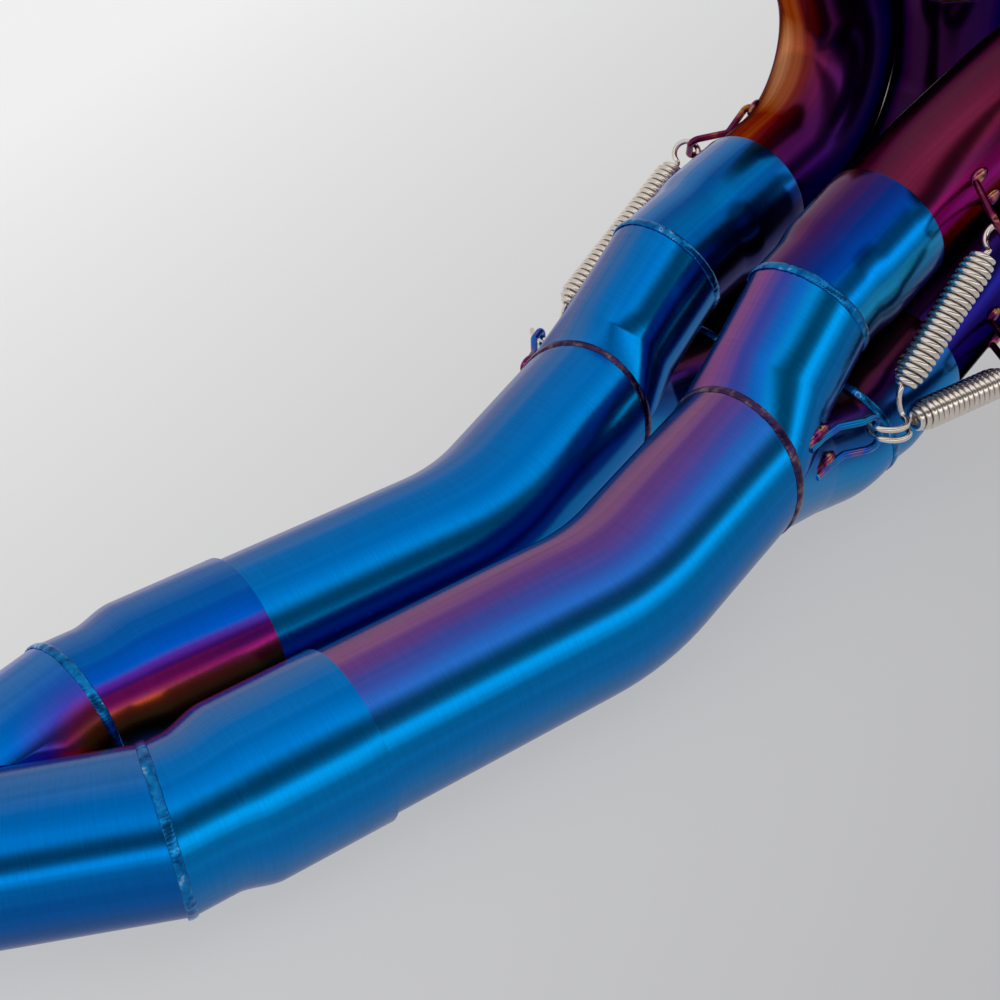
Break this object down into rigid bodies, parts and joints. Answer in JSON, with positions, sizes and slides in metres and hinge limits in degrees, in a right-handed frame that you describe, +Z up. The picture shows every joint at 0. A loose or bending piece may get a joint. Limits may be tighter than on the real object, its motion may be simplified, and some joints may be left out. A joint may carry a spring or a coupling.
{
  "type": "motorcycle exhaust link pipes with collector",
  "caption": "Heat-blued stainless link section of an inline-four motorcycle exhaust: header ends, formed Y pipes, springs and a collector.",
  "frame": {"origin": "centre of the outlet pipe's open end", "axes": "+X forward along the near link pipe's lower run towards the header tubes, +Y towards the far link pipe, +Z up"},
  "size_m": [0.6065, 0.1856, 0.1771],
  "materials": {
    "blued_tube": "stainless tube, heat-blued and finely brushed",
    "header_tube": "stainless tube, heat-coloured straw to purple and blue",
    "hook_rod": "stainless rod, heat-tinted at the welds",
    "spring_steel": "bright stainless spring wire",
    "weld_metal": "rippled weld bead, heat-tinted"
  },
  "bodies": {
    "root": {"far_collector_bead": "weld_metal", "far_collector_socket": "blued_tube", "far_collector_tube": "blued_tube", "far_link_hook": "hook_rod", "far_link_pipe": "blued_tube", "far_lower_bead": "weld_metal", "far_lower_branch": "blued_tube", "far_lower_header": "header_tube", "far_lower_header_hook": "hook_rod", "far_lower_socket": "blued_tube", "far_lower_spring": "spring_steel", "far_mouth_bead": "weld_metal", "far_upper_bead": "weld_metal", "far_upper_branch": "blued_tube", "far_upper_header": "header_tube", "far_upper_header_hook": "hook_rod", "far_upper_socket": "blued_tube", "far_upper_spring": "spring_steel", "merge_cone": "blued_tube", "near_collector_bead": "weld_metal", "near_collector_socket": "blued_tube", "near_collector_tube": "blued_tube", "near_link_hook": "hook_rod", "near_link_pipe": "blued_tube", "near_lower_bead": "weld_metal", "near_lower_branch": "blued_tube", "near_lower_header": "header_tube", "near_lower_header_hook": "hook_rod", "near_lower_socket": "blued_tube", "near_lower_spring": "spring_steel", "near_mouth_bead": "weld_metal", "near_upper_bead": "weld_metal", "near_upper_branch": "blued_tube", "near_upper_header": "header_tube", "near_upper_header_hook": "hook_rod", "near_upper_socket": "blued_tube", "near_upper_spring": "spring_steel", "outlet_pipe": "blued_tube"}
  },
  "joints": []
}
